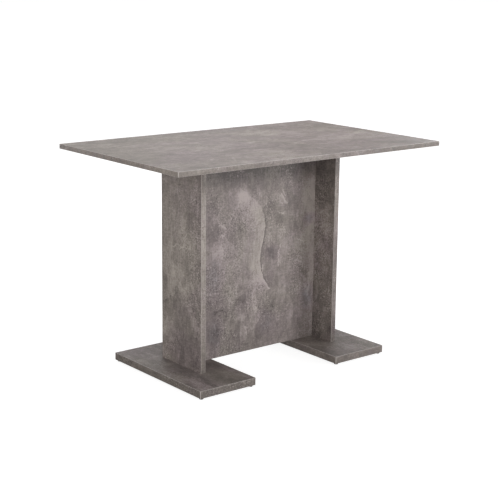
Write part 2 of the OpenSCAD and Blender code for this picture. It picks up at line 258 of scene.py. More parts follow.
def patch(s, u, v, centre, size, turn=0.0):
    """A soft patch that is 1 at its centre and 0 past its edge. Sizes are half widths in metres."""
    du = s.math("SUBTRACT", u, centre[0])
    dv = s.math("SUBTRACT", v, centre[1])
    cos, sin = math.cos(math.radians(turn)), math.sin(math.radians(turn))
    along = s.math("DIVIDE", s.add(s.scaled(du, cos), s.scaled(dv, sin)), size[0])
    across = s.math("DIVIDE", s.add(s.scaled(dv, cos), s.scaled(du, -sin)), size[1])
    far = s.math("SQRT", s.add(s.scaled(along, along), s.scaled(across, across)))
    return s.rise(far, 1.15, 0.1)


def patches(s, u, v, rows):
    """The sum of several patches: (strength, centre, size), and a turn in degrees if it has one."""
    return s.add(*(s.scaled(patch(s, u, v, centre, size, *turn), strength)
                   for strength, centre, size, *turn in rows))


def stroke(s, u, v, start, end, half_width):
    """A soft line from start to end, 1 along its middle."""
    run = (end[0] - start[0], end[1] - start[1])
    square = run[0] ** 2 + run[1] ** 2
    du, dv = s.math("SUBTRACT", u, start[0]), s.math("SUBTRACT", v, start[1])
    along = s.math("ADD", s.scaled(du, run[0] / square), s.scaled(dv, run[1] / square), clamp=True)
    off_u = s.math("SUBTRACT", du, s.scaled(along, run[0]))
    off_v = s.math("SUBTRACT", dv, s.scaled(along, run[1]))
    far = s.math("SQRT", s.add(s.scaled(off_u, off_u), s.scaled(off_v, off_v)))
    return s.rise(far, half_width, 0.2 * half_width)


def strokes(s, u, v, rows):
    """The sum of several strokes, each given as (strength, start, end, half width)."""
    return s.add(*(s.scaled(stroke(s, u, v, start, end, half_width), strength)
                   for strength, start, end, half_width in rows))


def ragged(s, u, v, scale, reach):
    """u and v pushed about by noise, so that what is drawn over them has torn edges."""
    def push(depth):
        noise = s.noise(s.vector(u, v, depth), scale, 4.0, 0.7)
        return s.scaled(s.math("SUBTRACT", noise, 0.5), 2 * reach)
    return s.add(u, push(1.7)), s.add(v, push(8.3))


def stone_group():
    """Tone, tint and height of the printed stone decor, over u across the grain and v along it."""
    tree = bpy.data.node_groups.new("stone_decor", "ShaderNodeTree")
    face = tree.interface
    for name in ("U", "V", "Seed", "Clouds", "Grain", "Tone", "Glaze"):
        face.new_socket(name, in_out="INPUT", socket_type="NodeSocketFloat")
    face.new_socket("Color", in_out="OUTPUT", socket_type="NodeSocketColor")
    face.new_socket("Height", in_out="OUTPUT", socket_type="NodeSocketFloat")
    s = Shading(tree)
    into = s.node("NodeGroupInput").outputs
    u, v, seed = into["U"], into["V"], into["Seed"]

    def field(scale_u, scale_v, detail, roughness, distortion=0.0, offset=0.0):
        """Noise about zero, with its own scale across and along the grain, per metre."""
        at = s.vector(s.scaled(u, scale_u), s.scaled(v, scale_v), s.add(seed, offset))
        return s.math("SUBTRACT", s.noise(at, 1.0, detail, roughness, distortion), 0.5)

    # Clouds drawn out along the grain, with mottling and grit in them
    clouds = field(5.2, 3.4, 4.0, 0.55, 0.6)
    mottling = field(21.0, 14.0, 5.0, 0.62, 0.4, 1.3)
    blotches = field(62.0, 44.0, 4.0, 0.62, 0.3, 2.1)
    grit = field(170.0, 150.0, 3.0, 0.70, 0.0, 2.9)

    # Plaster laid in coats: each coat pales towards its edge and ends at a fine dark line
    spread = s.vector(s.scaled(u, 4.4), s.scaled(v, 2.9), s.add(seed, 3.7))
    coats = s.math("FRACT", s.scaled(s.noise(spread, 1.0, 2.5, 0.5, 0.9), 6.0))
    coat_shown = s.rise(field(3.6, 2.6, 2.0, 0.5, 0.0, 4.4), -0.02, 0.10)
    coat_tone = s.add(s.scaled(s.math("SUBTRACT", coats, 0.5), 0.16),
                      s.scaled(s.rise(coats, 0.07, 0.0), -0.10))

    # Brushed fibres along the grain and a fainter set across it
    fibres = field(430.0, 24.0, 3.0, 0.6, 0.3, 5.2)
    long_fibres = field(150.0, 6.0, 3.0, 0.6, 0.2, 6.1)
    cross = field(20.0, 300.0, 2.0, 0.6, 0.3, 6.8)

    # Pale specks and dark pits crowd where the stone is weathered
    weathered = s.rise(field(9.0, 7.0, 3.0, 0.6, 0.5, 7.3), -0.04, 0.12)
    specks = s.rise(field(240.0, 220.0, 2.0, 0.65, 0.0, 8.2), 0.10, 0.20)
    specks = s.scaled(specks, s.add(s.scaled(weathered, 0.95), 0.10))
    pits = s.rise(field(200.0, 170.0, 2.0, 0.65, 0.0, 9.4), 0.09, 0.21)
    pits = s.scaled(pits, s.add(s.scaled(weathered, 0.8), 0.15))

    # Short pale filaments and broken crackle lines
    def filaments(scale, width, offset):
        line = s.math("ABSOLUTE", field(scale, 0.8 * scale, 3.0, 0.62, 1.0, offset))
        gaps = field(0.7 * scale, 0.6 * scale, 3.0, 0.6, 0.3, offset + 0.7)
        return s.scaled(s.rise(line, width, 0.0), s.rise(gaps, 0.07, 0.15))

    crackle = s.add(filaments(26.0, 0.014, 10.6), filaments(58.0, 0.022, 11.8))
    crackle = s.scaled(crackle, s.add(s.scaled(weathered, 0.8), 0.25))

    fine = s.add(
        s.scaled(grit, s.add(s.scaled(weathered, 0.55), 0.46)),
        s.scaled(fibres, 0.30),
        s.scaled(long_fibres, 0.17),
        s.scaled(cross, 0.17),
        s.scaled(specks, 0.50),
        s.scaled(crackle, 0.46),
        s.scaled(pits, -0.28),
    )
    tone = s.add(
        into["Tone"],
        s.scaled(clouds, s.scaled(into["Clouds"], 0.80)),
        s.scaled(s.scaled(coat_tone, coat_shown), into["Clouds"]),
        s.scaled(mottling, s.scaled(into["Clouds"], 0.75)),
        s.scaled(blotches, 0.62),
        s.scaled(fine, into["Grain"]),
    )
    darker = s.mix(s.rise(tone, 0.0, 0.5, smooth=False), STONE_DARK, STONE_MID)
    colour = s.mix(s.rise(tone, 0.5, 1.0, smooth=False), darker, STONE_PALE)
    warmth = s.add(field(9.0, 6.5, 4.0, 0.6, 0.6, 12.7), into["Glaze"])
    tint = s.mix(s.rise(warmth, -0.24, 0.24), OLIVE_TINT, ROSE_TINT)
    tint = s.mix(s.rise(s.add(into["Glaze"], s.scaled(blotches, 0.8)), 0.2, 1.0), tint, GLAZE_TINT)
    colour = s.mix(1.0, colour, tint, "MULTIPLY")
    height = s.add(s.scaled(fibres, 0.6), s.scaled(grit, 0.7), s.scaled(pits, -0.5))

    s.fill(s.node("NodeGroupOutput"), {"Color": colour, "Height": height})
    return tree


STONE = stone_group()
NO_MARKS = (0.0, 0.0)


def stone_material(name, across, along, seed, clouds=1.0, grain=1.0, tone=0.5, marks_and_shade=None,
                   painted_arris_highlight=False):
    """across and along give the coordinates that run each way over the sheet, such as "x", or "xy"
    for x + y on a band that goes round a board. marks(s, u, v) gives the sheet's own drawing,
    with painted shade and light on some sheets, as tone and glaze. With worn set, the rounded
    arrises are paled as a painted highlight, and the relief is fainter."""
    material, s, shader, position = new_material(name)
    parts = dict(zip("xyz", s.axes(position)))
    u, v = (s.add(*(parts[key] for key in keys)) for keys in (across, along))
    # The sheet's own drawing, and on some sheets painted shade and light, come as tone and glaze
    drawn, glaze = marks_and_shade(s, u, v) if marks_and_shade else NO_MARKS
    stone = s.fill(s.node("ShaderNodeGroup", node_tree=STONE), {
        "U": u, "V": v, "Seed": seed, "Clouds": clouds, "Grain": grain,
        "Tone": s.add(tone, drawn) if marks_and_shade else tone, "Glaze": glaze})
    colour = stone["Color"]
    # Painted highlight: the rounded arrises are paled, as where they catch the light
    if painted_arris_highlight:
        facing = s.axes(s.node("ShaderNodeNewGeometry").outputs["True Normal"])
        squarest = s.math("ABSOLUTE", facing[0])
        for part in facing[1:]:
            squarest = s.math("MAXIMUM", squarest, s.math("ABSOLUTE", part))
        colour = s.mix(s.rise(squarest, 0.995, 0.90), colour, ARRIS_HIGHLIGHT)
    roughness = s.rise(stone["Height"], -0.4, 0.4, *STONE_ROUGHNESS)
    shader.inputs["Specular IOR Level"].default_value = STONE_SPECULAR
    normal = s.bump(stone["Height"], STONE_RELIEF, 0.2 if painted_arris_highlight else 0.6)
    s.fill(shader, {"Base Color": colour, "Roughness": roughness, "Normal": normal})
    return material


# The coat of plaster that ends in a long S down the web: its edge's x at each height z
WEB_EDGE = ((0.200, 0.100), (0.244, 0.071), (0.298, 0.041), (0.345, 0.032), (0.419, 0.044),
            (0.473, 0.052), (0.527, 0.037), (0.574, -0.010), (0.610, -0.060))


def web_marks_and_shade(s, u, v):
    """The web's drawing: the S-shaped coat, pale and dark patches, crackle, and blue-grey glaze.
    Some patches are painted light and shade: the top's painted shadow across the web's head,
    darkest to the right, and pale patches that lift the shade beside the right upright.
    """
    wander = s.scaled(s.math("SUBTRACT", s.noise(s.vector(u, v, 2.0), 40.0, 3.0, 0.6), 0.5), 0.012)
    past = s.add(s.math("SUBTRACT", u, s.curve(v, WEB_EDGE)), wander)
    within = s.scaled(s.rise(v, 0.235, 0.28), s.rise(v, 0.620, 0.57))
    blur = s.rise(v, 0.440, 0.580, 0.0015, 0.0140)
    coat = s.scaled(s.rise(past, -0.110, -0.010), s.rise(past, blur, s.scaled(blur, -1.0)))
    rim = s.scaled(s.rise(past, -0.012, -0.002), s.rise(past, 0.001, -0.002))
    line = s.scaled(s.rise(past, -0.001, 0.001), s.rise(past, 0.009, 0.001))
    line = s.scaled(line, s.rise(v, 0.540, 0.450, 0.25, 1.0))
    u, v = ragged(s, u, v, 34.0, 0.022)
    pale = patches(s, u, v, (
        (0.26, (-0.050, 0.580), (0.040, 0.050), 10),
        (0.10, (-0.010, 0.635), (0.030, 0.040)),
        (0.24, (0.118, 0.555), (0.045, 0.034), -20),
        (0.14, (-0.175, 0.400), (0.060, 0.040), 20),
        (0.12, (0.200, 0.392), (0.075, 0.048), 10),
        (0.34, (-0.054, 0.160), (0.030, 0.026), -20),
        (0.14, (-0.045, 0.105), (0.022, 0.050)),
        (0.28, (0.008, 0.212), (0.015, 0.070), 6),
        (0.18, (0.172, 0.130), (0.018, 0.080)),
        (0.10, (-0.090, 0.330), (0.110, 0.110)),
        (0.09, (0.015, 0.270), (0.075, 0.150)),
        (0.08, (0.015, 0.565), (0.090, 0.060)),
        (0.10, (0.180, 0.500), (0.100, 0.070)),
        # Painted light beside the right upright
        (0.10, (0.240, 0.420), (0.050, 0.200)),
        (0.07, (-0.120, 0.510), (0.090, 0.090)),
        (0.08, (0.100, 0.420), (0.160, 0.110)),
        (0.10, (-0.150, 0.400), (0.060, 0.040), 30),
        (0.12, (0.240, 0.560), (0.050, 0.060)),
        # Painted light: these two lift the shade beside the right upright
        (0.34, (0.290, 0.450), (0.085, 0.330)),
        (0.30, (0.290, 0.190), (0.070, 0.240)),
    ))
    dark = patches(s, u, v, (
        (0.20, (0.082, 0.372), (0.042, 0.034)),
        (0.16, (0.246, 0.278), (0.042, 0.050)),
        (0.22, (0.248, 0.468), (0.034, 0.026)),
        (0.20, (-0.172, 0.110), (0.045, 0.075)),
        (0.18, (-0.155, 0.470), (0.030, 0.030)),
        (0.12, (-0.170, 0.560), (0.040, 0.060)),
        (0.16, (0.115, 0.488), (0.042, 0.026)),
        (0.12, (-0.012, 0.292), (0.012, 0.032), 12),
        (0.20, (0.082, 0.135), (0.080, 0.078)),
        (0.16, (0.245, 0.180), (0.050, 0.060)),
        (0.18, (-0.045, 0.215), (0.040, 0.020)),
        # Painted shadow of the top across the web's head
        (0.46, (0.030, 0.672), (0.400, 0.075)),
        (0.09, (0.030, 0.055), (0.330, 0.050)),
        # Painted shade low on the right, then painted shadow of the top in the next two
        (0.10, (0.200, 0.090), (0.080, 0.060)),
        (0.12, (-0.140, 0.650), (0.100, 0.050)),
        (0.20, (0.240, 0.665), (0.120, 0.055)),
        (0.14, (0.130, 0.470), (0.045, 0.030)),
    ))
    crackle = strokes(s, u, v, (
        (0.42, (0.122, 0.392), (0.112, 0.362), 0.0045),
        (0.34, (0.112, 0.362), (0.109, 0.318), 0.0040),
        (0.36, (0.264, 0.272), (0.254, 0.212), 0.0050),
        (0.26, (0.254, 0.212), (0.262, 0.150), 0.0040),
        (0.34, (-0.150, 0.494), (-0.122, 0.482), 0.0045),
        (0.30, (-0.142, 0.452), (-0.126, 0.462), 0.0040),
        (0.40, (0.104, 0.506), (0.132, 0.504), 0.0035),
        (0.34, (0.120, 0.566), (0.150, 0.536), 0.0060),
        (0.40, (0.040, 0.278), (0.050, 0.266), 0.0040),
        (0.44, (0.050, 0.266), (0.074, 0.245), 0.0045),
        (0.38, (0.038, 0.330), (0.042, 0.284), 0.0035),
        (0.34, (0.128, 0.580), (0.146, 0.558), 0.0045),
        (0.30, (0.245, 0.560), (0.268, 0.540), 0.0045),
        (0.30, (0.200, 0.405), (0.226, 0.385), 0.0040),
        (0.30, (-0.034, 0.118), (-0.030, 0.096), 0.0045),
        (-0.14, (0.062, 0.384), (0.092, 0.374), 0.0100),
        (-0.14, (0.088, 0.352), (0.102, 0.336), 0.0080),
        (-0.14, (0.222, 0.284), (0.246, 0.256), 0.0120),
        (-0.22, (-0.162, 0.187), (-0.108, 0.190), 0.0055),
        (-0.16, (-0.030, 0.182), (-0.018, 0.150), 0.0050),
        (0.16, (-0.205, 0.262), (-0.060, 0.244), 0.0030),
    ))
    glaze = patches(s, u, v, (
        (0.4, (0.080, 0.372), (0.045, 0.036)),
        (0.8, (0.250, 0.180), (0.045, 0.060)),
        (0.7, (0.252, 0.468), (0.036, 0.026)),
        (0.5, (-0.165, 0.110), (0.050, 0.070)),
        (0.2, (-0.175, 0.280), (0.060, 0.240)),
        (0.5, (0.060, 0.115), (0.060, 0.060)),
        (0.4, (-0.165, 0.320), (0.050, 0.090)),
    ))
    coat_tone = s.add(s.scaled(coat, 0.28), s.scaled(rim, 0.08), s.scaled(line, -0.28))
    return s.add(s.scaled(within, coat_tone), pale, s.scaled(dark, -1.0), crackle), glaze


def top_marks(s, u, v):
    """The top's drawing: a wispy pale vein to the right, pale clouds behind it, darker ones in
    front, and an olive tint towards the back and the left. v runs along the top, u across it."""
    u, v = ragged(s, u, v, 22.0, 0.030)
    vein = strokes(s, u, v, (
        (0.16, (-0.006, -0.020), (0.012, 0.020), 0.020),
        (0.14, (-0.090, 0.110), (-0.066, 0.180), 0.014),
        (0.12, (-0.066, 0.180), (-0.074, 0.250), 0.016),
        (0.09, (-0.092, 0.290), (-0.062, 0.390), 0.022),
        (0.12, (-0.050, 0.400), (0.004, 0.510), 0.014),
        (0.14, (-0.262, -0.285), (-0.215, -0.250), 0.007),
        (0.12, (-0.228, -0.335), (-0.195, -0.310), 0.007),
    ))
    clouds = patches(s, u, v, (
        (0.07, (0.150, 0.150), (0.110, 0.110)),
        (0.07, (0.000, -0.220), (0.060, 0.170)),
        (0.06, (0.010, 0.400), (0.040, 0.050), 30),
        (-0.07, (-0.125, -0.200), (0.050, 0.230)),
        (-0.05, (0.180, 0.320), (0.070, 0.060)),
        (-0.06, (0.170, 0.020), (0.050, 0.070)),
        (-0.08, (-0.190, 0.340), (0.090, 0.130)),
        (-0.07, (-0.120, 0.180), (0.030, 0.080)),
        (-0.27, (-0.290, 0.460), (0.080, 0.140)),
        (-0.08, (-0.290, -0.460), (0.070, 0.110)),
        (0.13, (0.280, 0.420), (0.090, 0.200)),
        (-0.07, (0.280, -0.460), (0.080, 0.120)),
        (0.06, (0.140, 0.380), (0.160, 0.200)),
        (-0.10, (-0.195, -0.420), (0.024, 0.040)),
        (-0.10, (-0.232, -0.300), (0.026, 0.040)),
        (-0.06, (-0.100, -0.330), (0.030, 0.060)),
        (0.06, (-0.040, -0.280), (0.040, 0.100)),
    ))
    glaze = patches(s, u, v, (
        (0.5, (-0.210, 0.200), (0.030, 0.030), 40),
        (0.4, (-0.180, 0.390), (0.030, 0.050)),
        (-0.36, (0.250, -0.330), (0.110, 0.330)),
        (-0.36, (0.080, -0.500), (0.300, 0.130)),
        (-0.24, (0.160, 0.440), (0.140, 0.090)),
    ))
    return s.add(vein, clouds), glaze


def upright_marks_and_shade(s, u, v):
    """Paler, olive stone half way up an upright, with crackle; it is darker at its head, under the
    top, and at its foot, which is painted shade.
    """
    u, v = ragged(s, u, v, 26.0, 0.030)
    tone = patches(s, u, v, (
        (0.15, (0.000, 0.400), (0.130, 0.250)),
        (0.10, (0.060, 0.170), (0.030, 0.110)),
        (0.10, (-0.010, 0.470), (0.016, 0.120)),
        (0.08, (0.085, 0.560), (0.020, 0.120)),
        # Painted shade at the head, under the top
        (-0.10, (0.000, 0.690), (0.130, 0.100)),
        (-0.10, (-0.030, 0.540), (0.050, 0.100)),
        # Painted shade at the foot
        (-0.10, (0.000, 0.050), (0.110, 0.090)),
        (-0.08, (0.030, 0.260), (0.050, 0.050)),
        (0.10, (0.000, 0.512), (0.150, 0.045)),
        (0.10, (0.075, 0.190), (0.060, 0.110)),
        # Painted shade at the foot
        (-0.14, (-0.085, 0.050), (0.050, 0.055)),
    ))
    crackle = strokes(s, u, v, (
        (0.34, (0.050, 0.437), (-0.050, 0.440), 0.0035),
        (0.30, (0.010, 0.425), (-0.020, 0.446), 0.0040),
        (0.28, (-0.050, 0.500), (-0.080, 0.486), 0.0040),
        (0.24, (0.000, 0.285), (-0.030, 0.300), 0.0045),
    ))
    glaze = patches(s, u, v, (
        (-0.30, (0.0, 0.390), (0.150, 0.150)),
        (-0.30, (0.090, 0.350), (0.060, 0.400)),
    ))
    return s.add(tone, crackle), glaze


def right_upright_marks_and_shade(s, u, v):
    """The same, with more painted shade at the head, under the top, and at the foot, and no glaze.
    """
    tone, _ = upright_marks_and_shade(s, u, v)
    shade = patches(s, u, v, (
        (-0.14, (0.0, 0.580), (0.300, 0.190)),
        (-0.10, (0.0, 0.050), (0.300, 0.070)),
    ))
    return s.add(tone, shade), 0.0


def base_marks_and_shade(s, u, v):
    """Both base plates' drawing: pale coats with bowed, darker borders, and grey-green between,
    with painted shade behind the left upright, under the web, and painted light in the web's
    shade on the right plate.
    """
    u, v = ragged(s, u, v, 20.0, 0.022)
    bow = s.add(u, s.scaled(s.rise(v, -0.120, -0.260), 0.020), 0.326)
    border = s.scaled(s.rise(bow, -0.006, 0.004), s.rise(bow, 0.030, 0.004))
    border = s.scaled(border, s.rise(v, -0.090, -0.150))
    tone = patches(s, u, v, (
        (0.14, (-0.365, -0.190), (0.042, 0.090)),
        (-0.10, (-0.255, -0.180), (0.070, 0.100)),
        (0.10, (-0.345, 0.140), (0.050, 0.120)),
        (-0.10, (-0.355, 0.190), (0.012, 0.060), 4),
        (-0.10, (-0.300, 0.190), (0.020, 0.060)),
        # Painted shade behind the left upright, under the web
        (-0.16, (-0.225, -0.070), (0.060, 0.090)),
        (0.08, (-0.375, 0.030), (0.030, 0.060)),
        (-0.14, (0.200, -0.170), (0.040, 0.110)),
        (0.12, (0.300, -0.200), (0.060, 0.060)),
        (-0.10, (0.360, -0.190), (0.024, 0.050)),
        (0.10, (0.385, -0.120), (0.020, 0.090)),
        (-0.16, (0.330, 0.210), (0.050, 0.050)),
        (-0.12, (0.350, 0.010), (0.030, 0.060)),
        # Painted light that lifts the web's shade on the right plate
        (0.14, (0.255, -0.030), (0.035, 0.035)),
    ))
    glaze = patches(s, u, v, (
        (-0.5, (-0.250, -0.190), (0.075, 0.110)),
        (0.2, (-0.365, -0.190), (0.040, 0.090)),
        (-0.4, (0.370, -0.200), (0.030, 0.060)),
        (0.1, (0.300, -0.190), (0.040, 0.060)),
    ))
    return s.add(tone, s.scaled(border, -0.24)), glaze


def top_band_marks(s, u, v):
    """The top's edge band is darker along the right half of its front."""
    return s.scaled(patch(s, u, v, (0.750, 0.020), (0.300, 0.380)), -0.16), -0.10


def upright_band_painted_shade(s, u, v):
    """The uprights' bands are palest half way up and darker at both ends, which is painted shade,
    under the top and by the base plate.
    """
    tone = patches(s, u, v, (
        (0.14, (0.0, 0.520), (2.0, 0.190)),
        # Painted shade under the top, and by the base plate below
        (-0.25, (0.0, 0.672), (2.0, 0.058)),
        (-0.26, (0.0, 0.045), (2.0, 0.110)),
    ))
    return tone, -0.08


def band_marks(s, u, v):
    """The other bands differ from the boards in tint only."""
    return 0.0, -0.14


# ---------------------------------------------------------------- beech, steel and plastic

BEECH_LIGHT = (0.620, 0.435, 0.260)
BEECH_DARK = (0.420, 0.265, 0.140)
BEECH_FLECK = (0.290, 0.165, 0.080)
ZINC_LIGHT = (0.640, 0.655, 0.670)
ZINC_DARK = (0.430, 0.440, 0.450)
PLASTIC_BLACK = (0.016, 0.016, 0.017)
PLASTIC_GREY = (0.040, 0.039, 0.038)
BEECH_RELIEF, ZINC_RELIEF, PLASTIC_RELIEF = 0.08 * MM, 0.02 * MM, 0.04 * MM


def beech_material(name, along):
    """Steamed beech with its grain along one axis: bands of growth, pores and short flecks."""
    material, s, shader, position = new_material(name)
    parts = dict(zip("xyz", s.axes(position)))
    v = parts.pop(along)
    a, b = parts.values()

    def field(scale_ab, scale_v, detail, offset=0.0):
        at = s.vector(s.scaled(a, scale_ab), s.scaled(b, scale_ab),
                      s.add(s.scaled(v, scale_v), offset))
        return s.noise(at, 1.0, detail, 0.55, 0.4)

    growth = s.math("FRACT", s.scaled(field(38.0, 1.6, 2.0), 9.0))
    growth = s.math("ABSOLUTE", s.math("SUBTRACT", growth, 0.5))
    pores = s.rise(field(900.0, 45.0, 2.0, 3.0), 0.56, 0.70)
    flecks = s.rise(field(600.0, 120.0, 1.0, 7.0), 0.62, 0.70)
    drift = field(26.0, 4.0, 3.0, 11.0)
    shade = s.rise(s.add(s.scaled(growth, 0.7), s.scaled(drift, 0.8)), 0.25, 0.95)
    colour = s.mix(shade, BEECH_LIGHT, BEECH_DARK)
    colour = s.mix(s.scaled(pores, 0.35), colour, BEECH_DARK)
    colour = s.mix(s.scaled(flecks, 0.75), colour, BEECH_FLECK)
    relief = s.add(s.scaled(pores, -1.0), s.scaled(growth, 0.4))
    s.fill(shader, {"Base Color": colour, "Roughness": s.rise(growth, 0.0, 0.5, 0.42, 0.55),
                    "Normal": s.bump(relief, BEECH_RELIEF, 0.7)})
    return material


def zinc_material():
    """Zinc-plated steel: fine spangle, rolling lines and a little dulling."""
    material, s, shader, position = new_material("zinc_steel")
    parts = s.axes(position)
    spangle = s.cells(position, 700.0)
    dulling = s.noise(position, 120.0, 4.0, 0.6, 0.5)
    lines = s.noise(s.vector(*(s.scaled(parts[key], scale) for key, scale in
                               (("X", 60.0), ("Y", 2200.0), ("Z", 2200.0)))), 1.0, 2.0)
    shade = s.add(s.scaled(spangle, 0.5), s.scaled(dulling, 0.7), s.scaled(lines, 0.25))
    colour = s.mix(s.rise(shade, 0.4, 1.0), ZINC_LIGHT, ZINC_DARK)
    shader.inputs["Metallic"].default_value = 1.0
    relief = s.add(spangle, s.scaled(lines, 0.6))
    s.fill(shader, {"Base Color": colour, "Roughness": s.rise(shade, 0.4, 1.0, 0.26, 0.46),
                    "Normal": s.bump(relief, ZINC_RELIEF, 0.5)})
    return material


def plastic_material():
    """Moulded black plastic with a fine spark-eroded grain and grey scuffs."""
    material, s, shader, position = new_material("black_plastic")
    grain = s.noise(position, 2600.0, 2.0, 0.6)
    scuffs = s.rise(s.noise(position, 160.0, 4.0, 0.65, 0.6), 0.52, 0.72)
    roughness = s.rise(s.add(scuffs, s.scaled(grain, 0.4)), 0.1, 1.2, 0.40, 0.62)
    s.fill(shader, {"Base Color": s.mix(scuffs, PLASTIC_BLACK, PLASTIC_GREY),
                    "Roughness": roughness, "Normal": s.bump(grain, PLASTIC_RELIEF, 0.6)})
    return material


# ---------------------------------------------------------------- mesh pieces

CORNER = 2.0 * MM               # edge bands' radius round a board's corners
ARRIS = 0.9 * MM                # and along its edges
BAND = 1.0 * MM
SMALLEST_RADIUS = 0.02 * MM
SHARP_ANGLE = 32
ROUND_STEPS = 4                 # in a quarter turn
HEAD_POINTS = 24
FIRST_TURN = -math.pi / 12      # so that a circle's points pair with a recess's
WELD_WITHIN = 0.01 * MM
FLAT_WITHIN, EDGE_OVER = 1, 40  # degrees between faces


def flat(u, v, w):
    """Plan on X and Y, height on Z."""
    return u, v, w


def on_edge(u, v, w):
    """Plan on X and Z, as for a board that stands on its edge; its thickness is on Y."""
    return u, w, v


def solids(node):
    """The boxes (lowest and highest corner) of a CAD node's separate solids, in a fixed order."""
    mesh = NODES[node].data
    keys = [tuple(round(c * 1e5) for c in vertex.co) for vertex in mesh.vertices]
    parent = {key: key for key in keys}

    def root(key):
        while parent[key] != key:
            parent[key] = parent[parent[key]]
            key = parent[key]
        return key

    for edge in mesh.edges:
        a, b = (root(keys[i]) for i in edge.vertices)
        parent[a] = b
    groups = {}
    for key, vertex in zip(keys, mesh.vertices):
        groups.setdefault(root(key), []).append(vertex.co)
    boxes = [(Vector(map(min, zip(*points))), Vector(map(max, zip(*points))))
             for points in groups.values()]
    return sorted(boxes, key=lambda box: tuple(box[0]))


def arc():
    """(sine, cosine) pairs over a quarter turn."""
    turns = [k * math.pi / 2 / ROUND_STEPS for k in range(ROUND_STEPS + 1)]
    return [(math.sin(t), math.cos(t)) for t in turns]


def loft(bm, loops, ring=False):
    """Skins a row of loops with quads, and caps its ends unless the row closes on itself."""
    rows = [[bm.verts.new(point) for point in loop] for loop in loops]
    pairs = list(zip(rows, rows[1:])) + ([(rows[-1], rows[0])] if ring else [])
    for a, b in pairs:
        for i in range(len(a)):
            j = (i + 1) % len(a)
            bm.faces.new((a[i], a[j], b[j], b[i]))
    if not ring:
        bm.faces.new(rows[0][::-1])
        bm.faces.new(rows[-1])
    return rows


def add_piece(name, bm, material, body, slot, *replaced):
    """Makes a bmesh a piece that rides on a body and stands for CAD nodes."""
    bmesh.ops.recalc_face_normals(bm, faces=bm.faces)
    mesh = bpy.data.meshes.new(name)
    bm.to_mesh(mesh)
    bm.free()
    mesh.polygons.foreach_set("use_smooth", [True] * len(mesh.polygons))
    mesh.set_sharp_from_angle(angle=math.radians(SHARP_ANGLE))
    mesh.materials.append(material)
    obj = bpy.data.objects.new(name, mesh)
    bpy.context.scene.collection.objects.link(obj)
    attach(obj, body)
    if replaced:
        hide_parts(*replaced)


def rounded_rectangle(low, high, radius):
    """The outline of a rectangle with round corners, anticlockwise from its right side."""
    centres = ((high[0] - radius, high[1] - radius, 0), (low[0] + radius, high[1] - radius, 90),
               (low[0] + radius, low[1] + radius, 180), (high[0] - radius, low[1] + radius, 270))
    return [(x + radius * math.cos(math.radians(start + 90 * k / ROUND_STEPS)),
             y + radius * math.sin(math.radians(start + 90 * k / ROUND_STEPS)))
            for x, y, start in centres for k in range(ROUND_STEPS + 1)]


def band_ring(bm, low, high, at):
    """An edge band with rounded arrises, round a board whose box is given in the plan's order."""
    profile = [(BAND, low[2])]
    profile += [(ARRIS * (1 - sin), low[2] + ARRIS * (1 - cos)) for sin, cos in arc()]
    profile += [(ARRIS * (1 - cos), high[2] - ARRIS * (1 - sin)) for sin, cos in arc()]
    profile += [(BAND, high[2])]
    loops = []
    for inset, height in profile:
        radius = max(CORNER * (1 - inset / BAND), SMALLEST_RADIUS)
        outline = rounded_rectangle((low[0] + inset, low[1] + inset),
                                    (high[0] - inset, high[1] - inset), radius)
        loops.append([at(u, v, height) for u, v in outline])
    loft(bm, loops, ring=True)


def banded_edge(u_low, u_high, v_in, v_out):
    """The outline of a band glued on an edge: flat at v_in, with its outer arrises rounded."""
    side = math.copysign(1, v_out - v_in)
    return ([(u_low, v_in)]
            + [(u_low + ARRIS * (1 - cos), v_out - side * ARRIS * (1 - sin)) for sin, cos in arc()]
            + [(u_high - ARRIS * (1 - sin), v_out - side * ARRIS * (1 - cos))
               for sin, cos in arc()]
            + [(u_high, v_in)])


def folded_strip(bm, line, inner_radius, steel, width, corner, at):
    """A strip of sheet steel folded along a line of points, with its free corners rounded."""
    bend = inner_radius + steel / 2
    path = [(Vector(line[0]), (Vector(line[1]) - Vector(line[0])).normalized())]
    for before, here, after in zip(line, line[1:], line[2:]):
        before, here, after = Vector(before), Vector(here), Vector(after)
        into, out = (here - before).normalized(), (after - here).normalized()
        start, inward = here - into * bend, out
        centre = start + inward * bend
        for sin, cos in arc():
            point = centre - inward * bend * cos + into * bend * sin
            path.append((point, (into * cos + out * sin).normalized()))
    path.append((Vector(line[-1]), (Vector(line[-1]) - Vector(line[-2])).normalized()))
    loops = []
    for point, ahead in path:
        normal = Vector((-ahead.y, ahead.x)) * steel / 2
        loops.append([at(half * width, *(point + side * normal))
                      for half, side in ((-0.5, 1), (0.5, 1), (0.5, -1), (-0.5, -1))])
    rows = loft(bm, loops)
    ends = [bm.edges.get((row[i], row[j]))
            for row in (rows[0], rows[-1]) for i, j in ((1, 2), (3, 0))]
    bmesh.ops.bevel(bm, geom=ends, offset=corner, segments=4, profile=0.5, affect="EDGES")


def circle(radius, count=HEAD_POINTS, flute=0.0):
    """Points round a circle, each third one let in by flute."""
    points = []
    for k in range(count):
        t = 2 * math.pi * k / count + FIRST_TURN
        reach = radius - (flute if k % 3 == 0 else 0)
        points.append((reach * math.cos(t), reach * math.sin(t)))
    return points


def cross_recess(arm, half_width):
    """A plus-shaped outline whose points pair with those of circle()."""
    middle = (arm + half_width) / 2
    quarter = [(arm, -half_width), (arm, 0), (arm, half_width), (middle, half_width),
               (half_width, half_width), (half_width, middle)]
    return [(x * cos - y * sin, x * sin + y * cos)
            for cos, sin in ((1, 0), (0, 1), (-1, 0), (0, -1)) for x, y in quarter]


def hex_recess(across_flats):
    """A hexagonal outline whose points pair with those of circle()."""
    points = []
    for k in range(HEAD_POINTS):
        t = 2 * math.pi * k / HEAD_POINTS + FIRST_TURN
        within = (t % (math.pi / 3)) - math.pi / 6
        reach = across_flats / 2 / math.cos(within)
        points.append((reach * math.cos(t), reach * math.sin(t)))
    return points


